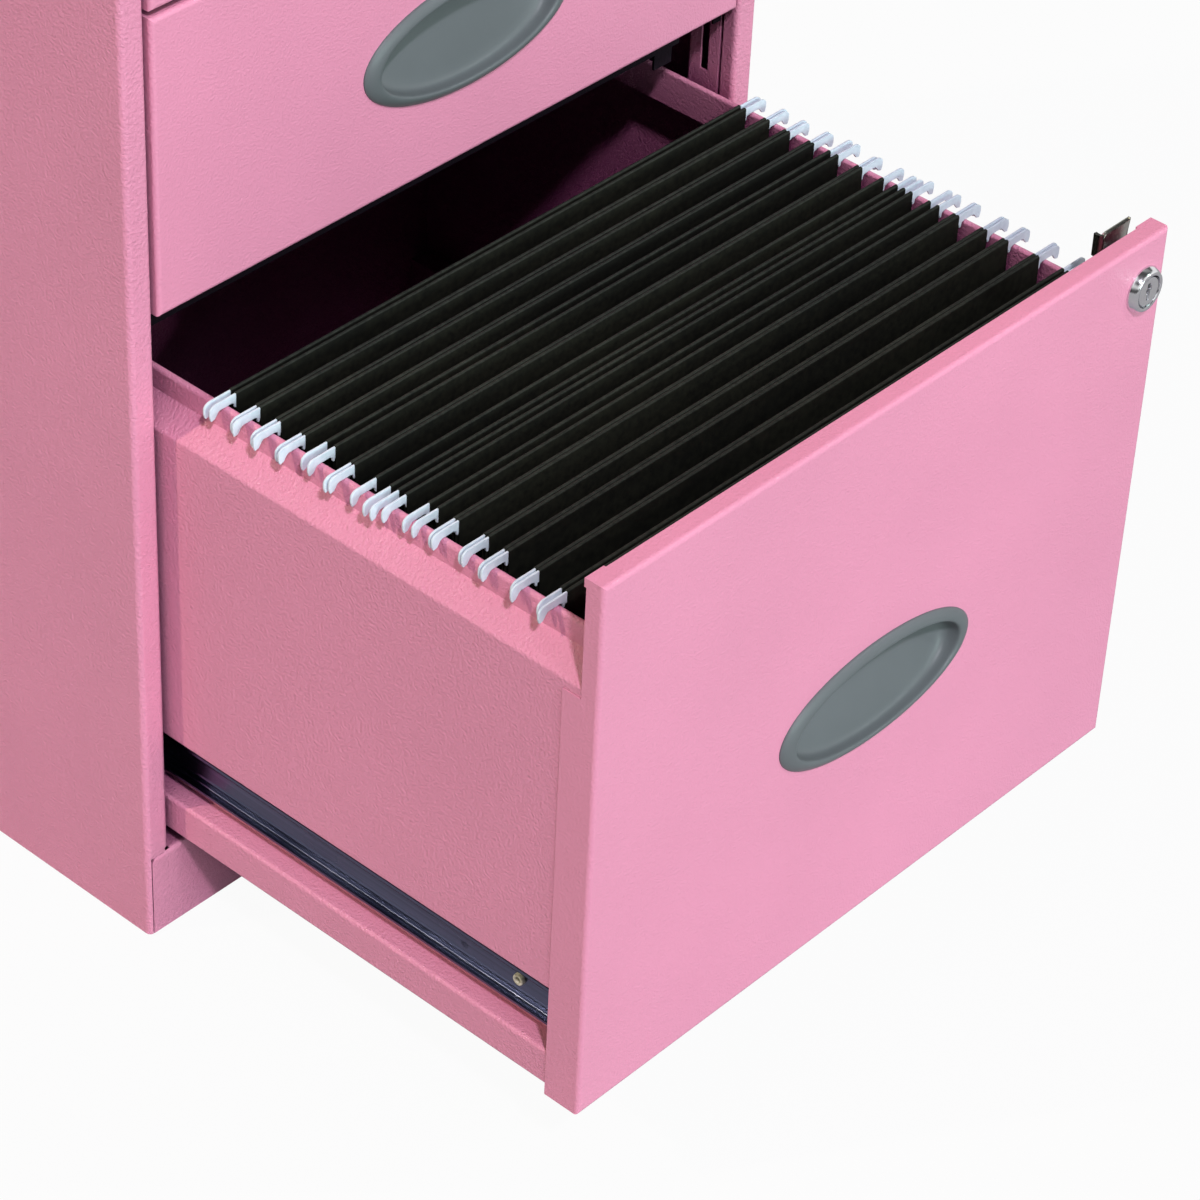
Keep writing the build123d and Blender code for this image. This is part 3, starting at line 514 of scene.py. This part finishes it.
def handle_cup(tier):
    """Smooth cup in the place of one plain handle."""
    low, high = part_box(f"{tier}_handle")
    centre_x, centre_z = (low.x + high.x) / 2, (low.z + high.z) / 2
    bezel_height, shallow = 0.003, 0.3
    slope_foot, slope_head = -0.8, 0.7
    face = low.y + bezel_height
    half_length, half_height = (high.x - low.x) / 2, (high.z - low.z) / 2
    # inset in length, inset in height and depth behind the face of the front, in mm
    profile = [(0.0, 0.0, 0.0), (0.05, 0.05, -0.55), (0.5, 0.45, -1.05), (1.4, 1.1, -1.6),
               (2.7, 2.0, -2.25), (4.0, 2.8, -2.7), (5.2, 3.5, -2.95), (6.3, 4.1, -3.0),
               (7.0, 4.5, -2.85), (7.5, 4.8, -2.5), (7.8, 4.95, -1.9), (7.95, 5.05, -1.0),
               (8.2, 5.25, 1.2), (8.6, 5.6, 4.2), (9.4, 6.3, 6.8), (11.3, 8.0, 8.8),
               (15.0, 11.0, 10.0), (22.0, 15.6, 10.6), (33.0, 20.0, 10.9), (46.0, 23.3, 11.0)]
    mesh, rings = bmesh.new(), []
    for inset_x, inset_z, depth in profile:
        ring = []
        for across, up in circle(128, 1.0):
            rise = (half_height - inset_z / 1000) * up
            deep = within((rise / half_height - slope_foot) / (slope_head - slope_foot))
            if depth > 0:
                dish = depth * (shallow + (1 - shallow) * deep * deep * (3 - 2 * deep))
            else:
                dish = depth
            ring.append((centre_x + (half_length - inset_x / 1000) * across,
                         face + dish / 1000, centre_z + rise))
        rings.append(ring)
    skin_over(mesh, rings, False, True)
    fit_piece(f"{tier}_cup", mesh, cup_plastic, f"{tier}_drawer", "cup_plastic",
              f"{tier}_handle")


for tier in ("file", "middle", "top"):
    handle_cup(tier)


# ---- Cam lock ----------------------------------------------------------------------------
# Chromed die-cast housing and turning plug through the front, a hexagon nut behind it, and a
# stamped cam on the plug's tail held by a screw.
def polished_chrome(name, colour, roughness):
    """Chrome plate with faint swirls."""
    finish, tree, shader = new_finish(name, roughness, 0.5)
    shader.inputs["Metallic"].default_value = 1.0
    swirl = noise(tree, 500.0, 2.0)
    wire(tree, level(tree, swirl, 0.3, 0.7, roughness * 0.7, roughness * 1.4), shader, "Roughness")
    wire(tree, tones(tree, swirl, 0.3, [c * 0.92 for c in colour], 0.7, colour), shader,
         "Base Color")
    return finish


chrome = polished_chrome("lock_chrome", (0.74, 0.74, 0.76), 0.13)
cam_steel = polished_chrome("cam_steel", (0.50, 0.50, 0.45), 0.2)
spray(chrome, "cam_screw")
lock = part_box("lock_plug")
lock_x, lock_z = (lock[0].x + lock[1].x) / 2, (lock[0].z + lock[1].z) / 2
lock_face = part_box("file_front")[0].y


def turned(mesh, profile, flats=1.0):
    """Round piece on the lock's axis, cut to flats: radius and depth behind the face, in mm."""
    rings = [[(lock_x + max(-flats, min(flats, x)), lock_face + depth / 1000, lock_z + z)
              for x, z in circle(64, radius / 1000)] for radius, depth in profile]
    skin_over(mesh, rings, False, False)


def stamped(mesh, outlines, front, back, edge, shift=(0.0, 0.0)):
    """Flat stamping between two depths with broken edges: outer outline, then its holes."""
    curve = bpy.data.curves.new("stamping", "CURVE")
    curve.dimensions = "2D"
    curve.fill_mode = "BOTH"
    curve.extrude = (back - front) / 2 - edge
    curve.bevel_depth = edge
    curve.bevel_resolution = 1
    curve.offset = -edge
    for outline in outlines:
        line = curve.splines.new("POLY")
        line.points.add(len(outline) - 1)
        for point, (x, z) in zip(line.points, outline):
            point.co = (x + shift[0], z + shift[1], 0, 1)
        line.use_cyclic_u = True
    blank = bpy.data.objects.new("stamping", curve)
    shape = bpy.data.meshes.new_from_object(blank)
    upright = Matrix.Rotation(pi / 2, 4, "X")
    shape.transform(Matrix.Translation((0, (front + back) / 2, 0)) @ upright)
    mesh.from_mesh(shape)
    bpy.data.objects.remove(blank)
    bpy.data.curves.remove(curve)
    bpy.data.meshes.remove(shape)


housing = bmesh.new()
turned(housing, [(8.0, -0.3), (10.2, -0.2), (10.2, 0.0), (10.25, -0.5), (10.0, -1.1), (9.3, -2.6),
                 (8.75, -3.6), (8.4, -3.8), (7.5, -3.8), (7.2, -3.65), (7.05, -3.2), (6.95, -2.2),
                 (6.56, -1.6), (6.56, 14.0)])
half_flats = 0.0069
turned(housing, [(8.0, -0.3), (8.0, 14.0)], half_flats)
turned(housing, [(8.0, 14.0), (6.56, 14.0)], half_flats)
fit_piece("lock_case", housing, chrome, "file_drawer", "lock_chrome", "lock_housing")

nut_low, nut_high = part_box("lock_nut")
nut = bmesh.new()
nut_bore, nut_corner, nut_ease = 0.00805, 0.01155, 0.0009
corners = [(x, z, nut_ease) for x, z in circle(6, nut_corner, pi / 6)]
axis = (lock_x, lock_z)
stamped(nut, [eased(corners), circle(48, nut_bore)], nut_low.y, nut_high.y, 0.0004, axis)
fit_piece("lock_hexagon", nut, chrome, "file_drawer", "lock_chrome", "lock_nut")

plug = bmesh.new()
plug_radius, keyway_depth, plug_length = 0.0064, 0.009, 0.0152
rim = circle(64, plug_radius)
keyway = [(-0.0010, -0.004), (0.0008, -0.004), (0.0010, 0.0003), (0.0019, 0.0005),
          (0.0019, 0.0023), (0.0010, 0.0025), (0.0008, 0.004), (-0.0010, 0.004),
          (-0.0010, 0.0014), (-0.0017, 0.0012), (-0.0017, 0.0), (-0.0010, -0.0002)]
plug_face, plug_tail = lock[0].y, lock_face + plug_length
stamped(plug, [rim, keyway], plug_face, plug_face + keyway_depth, 0.0003, axis)
stamped(plug, [rim], plug_face + keyway_depth, plug_tail, 0.0001, axis)
shank = 0.0025
square = [(-shank, -shank), (shank, -shank), (shank, shank), (-shank, shank)]
stamped(plug, [square], plug_tail - 0.0002, lock[1].y, 0.0001, axis)
# wafers in the keyway: depth and height, in mm
half_wafer, wafer_gauge = 0.0009, 0.0005
for depth, rise in ((2.2, -1.2), (4.0, 0.6), (5.8, -0.4), (7.4, 1.4)):
    foot, head = rise / 1000 - 0.0032, rise / 1000 - 0.0006
    wafer = [(-half_wafer, foot), (half_wafer, foot), (half_wafer, head), (-half_wafer, head)]
    behind = plug_face + depth / 1000
    stamped(plug, [wafer], behind, behind + wafer_gauge, 0.00005, axis)
fit_piece("lock_barrel", plug, chrome, "lock", "lock_chrome", "lock_plug")

cam_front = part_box("lock_cam")[0].y
cam_gauge, flange_gauge = 0.002, 0.0015
cam = bmesh.new()
blade = [(-0.007, -0.004, 0.0025), (0.0, -0.0072, 0.003), (0.007, -0.004, 0.0025),
         (0.0068, 0.003, 0.002), (0.0080, 0.0105, 0.003), (0.0079, 0.0185, 0.004),
         (0.0090, 0.0219, 0.0004), (-0.0070, 0.0219, 0.0008), (-0.0086, 0.0205, 0.0006),
         (-0.0086, 0.0105, 0.003), (-0.0068, 0.003, 0.002)]
stamped(cam, [eased(blade), square], cam_front, cam_front + cam_gauge, 0.0003, axis)
# the flange curled back along the blade's left edge, seen from above
curl = [Vector(point) for point in ((-0.0074, 0.0009), (-0.0082, 0.0011), (-0.0088, 0.0018),
                                    (-0.0089, 0.0030), (-0.0086, 0.0046))]
band = sheet_edge(curl, flange_gauge)
skin_over(cam, [[(lock_x + x, cam_front + y, lock_z + z) for x, y in band]
                for z in (0.0108, 0.0200, 0.0212)])
fit_piece("lock_catch", cam, cam_steel, "lock", "lock_chrome", "lock_cam")


# ---- Hanging folders ---------------------------------------------------------------------
# Dark card folders folded over flat white-coated steel rods, whose hooked ends ride on the
# drawer's rails. Each folder is one sheet with a sleeve round each rod and a fold at the bottom.
def folder_board():
    """Near-black olive card with a faint fibre, paler along its upper fold: partly fold wear,
    partly a painted highlight.
    """
    finish, tree, shader = new_finish("folder_card", 0.7, 0.14)
    fibre = noise(tree, 380.0, 5.0)
    cloud = noise(tree, 26.0, 3.0, (0.4, 1.0, 1.0))
    black, olive, wear_and_highlight_grey = (0.003, 0.003, 0.0022), (0.0105, 0.0104, 0.0068), (0.045, 0.052, 0.043)
    card = tones(tree, sum_of(tree, "MULTIPLY", fibre, cloud), 0.14, black, 0.36, olive)
    # paler band along the rounded top of each folder: fold wear and a painted highlight
    wear_and_highlight_from, wear_and_highlight_top = 0.2758, 0.27615
    wear_and_highlight = level(tree, height_on(tree), wear_and_highlight_from, wear_and_highlight_top, 0.0, 0.7)
    wire(tree, over(tree, sum_of(tree, "MULTIPLY", wear_and_highlight, fibre), card, wear_and_highlight_grey), shader,
         "Base Color")
    raise_skin(tree, shader, fibre, 0.25, 0.0002)
    return finish


def white_coat():
    """Thin bluish white coat on the hanger rods."""
    finish, tree, shader = new_finish("rod_steel", 0.34, 0.3)
    bluish, white = (0.62, 0.70, 0.79), (0.72, 0.80, 0.88)
    wire(tree, tones(tree, noise(tree, 300.0, 2.0), 0.3, bluish, 0.7, white), shader,
         "Base Color")
    raise_skin(tree, shader, noise(tree, 1200.0, 2.0), 0.08, 0.0001)
    return finish


stile_plane = lock_face + 0.001
# for each folder, in mm: how far behind the stile plane its first rod hangs, how far behind that
# its second rod, and how far each rod has slid to the right
folder_hangs = ((32.3, 2.7, -1.4, 1.1), (47.8, 1.8, 0.6, 2.6), (63.7, 1.8, 1.8, 2.3),
                (74.7, 1.9, 3.0, 3.5), (89.4, 1.8, 2.4, 2.8), (99.8, 4.6, 2.6, 2.4),
                (114.1, 3.9, 1.3, -0.9), (121.8, 7.5, -0.8, 0.2), (140.8, 1.8, 0.1, -0.8),
                (154.1, 4.3, 2.2, 3.0), (167.2, 1.95, -0.5, -0.1), (180.1, 2.05, -1.1, -0.3),
                (192.1, 1.85, -0.4, 0.5), (205.2, 3.0, 0.0, -0.2))
card_gauge, rod_gauge, rod_edge = 0.35, 0.9, 0.00016
rod_low, rod_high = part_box("folder_rods")
arch_height, hook_below = 0.0036, 0.0006
rod_top, seat = rod_high.z, rod_high.z - arch_height
card_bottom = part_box("folder_papers")[0].z
card_half, rod_play = 0.1491, 0.0015


def rod_end():
    """Right half of a rod's outline: sleeve part, tooth, arch over the rail and hook."""
    tip, foot = rod_high.x, rod_low.z - hook_below
    return [(0.0, seat - 0.0013, 0), (0.1487, seat - 0.0013, 0), (0.1490, seat - 0.0027, 0.0003),
            (0.1499, seat - 0.0025, 0.0004), (0.1503, seat - 0.0002, 0.0006),
            (0.1512, seat + 0.0002, 0.0004), (0.1530, seat, 0.0002),
            (tip - 0.0047, seat, 0.0010), (tip - 0.0026, foot + 0.0005, 0.0002),
            (tip - 0.0007, foot, 0.0003), (tip, seat - 0.0011, 0.0005),
            (tip - 0.0001, rod_top - 0.0015, 0.0012), (tip - 0.0024, rod_top, 0.0012)]


def rod_outline(slid):
    """Outline of a rod that has slid to the right; its right end stops short at the rail."""
    right = [(x + min(slid, rod_play), z, ease) for x, z, ease in rod_end()]
    left = [(slid - x, z, ease) for x, z, ease in reversed(rod_end()[1:])]
    return eased(right + left)


rods = bmesh.new()
for place, spread, *slides in folder_hangs:
    for behind, slid in zip((place, place + spread), slides):
        middle = stile_plane + behind / 1000
        stamped(rods, [rod_outline(slid / 1000)], middle - rod_gauge / 2000,
                middle + rod_gauge / 2000, rod_edge)
fit_piece("hanger_rods", rods, white_coat(), "file_drawer", "rod_steel", "folder_rods",
          crease=18)


def folder_line(place, spread):
    """Middle line of one folder seen from the side, in mm behind the stile plane and height."""
    top, foot = rod_top * 1000 + 0.4, card_bottom * 1000 + 0.25
    flap, slack, half_fold = 13.7, 0.05, 1.1
    half, round_rod = spread / 2, rod_gauge / 2 + slack + card_gauge / 2
    leaf = [(-half + round_rod, top - flap, 0), (-half + round_rod, top, 0.6),
            (-half - round_rod, top, 0.6), (-half - round_rod, top - flap - 1, 5),
            (-half * 0.6 - 1.6, (top - 0.7 + foot) / 2, 20), (-1.15, foot + 6, 4),
            (-half_fold, foot, 1.0)]
    rear = [(-y, z, ease) for y, z, ease in reversed(leaf)]
    return [Vector((place + half + p.x, p.y)) for p in eased(leaf + rear, 3)]


papers = bmesh.new()
draw = random.Random(7)
stations, sway_length = 24, 3.3
# a folder hangs freely between its rods and its fold: heights in mm
below_rods, above_fold = 268, 56
for place, spread, *slides in folder_hangs:
    outline = sheet_edge(folder_line(place, spread), card_gauge)
    lean, bow, turn = draw.uniform(-0.5, 0.5), draw.uniform(0.2, 0.6), draw.uniform(0, 2 * pi)
    slid = sum(slides) / 2000
    left, right = slid - card_half, card_half + min(slid, 0.0)
    rings = []
    for station in range(stations + 1):
        x = left + (right - left) * station / stations
        sway = lean + bow * sin(turn + station / sway_length)
        ring = []
        for y, z in outline:
            hang = within((below_rods - z) / 60) * within((z - above_fold) / 30)
            ring.append((x, stile_plane + (y + sway * hang) / 1000, z / 1000))
        rings.append(ring)
    skin_over(papers, rings)
fit_piece("folder_sheets", papers, folder_board(), "file_drawer", "folder_card", "folder_papers")
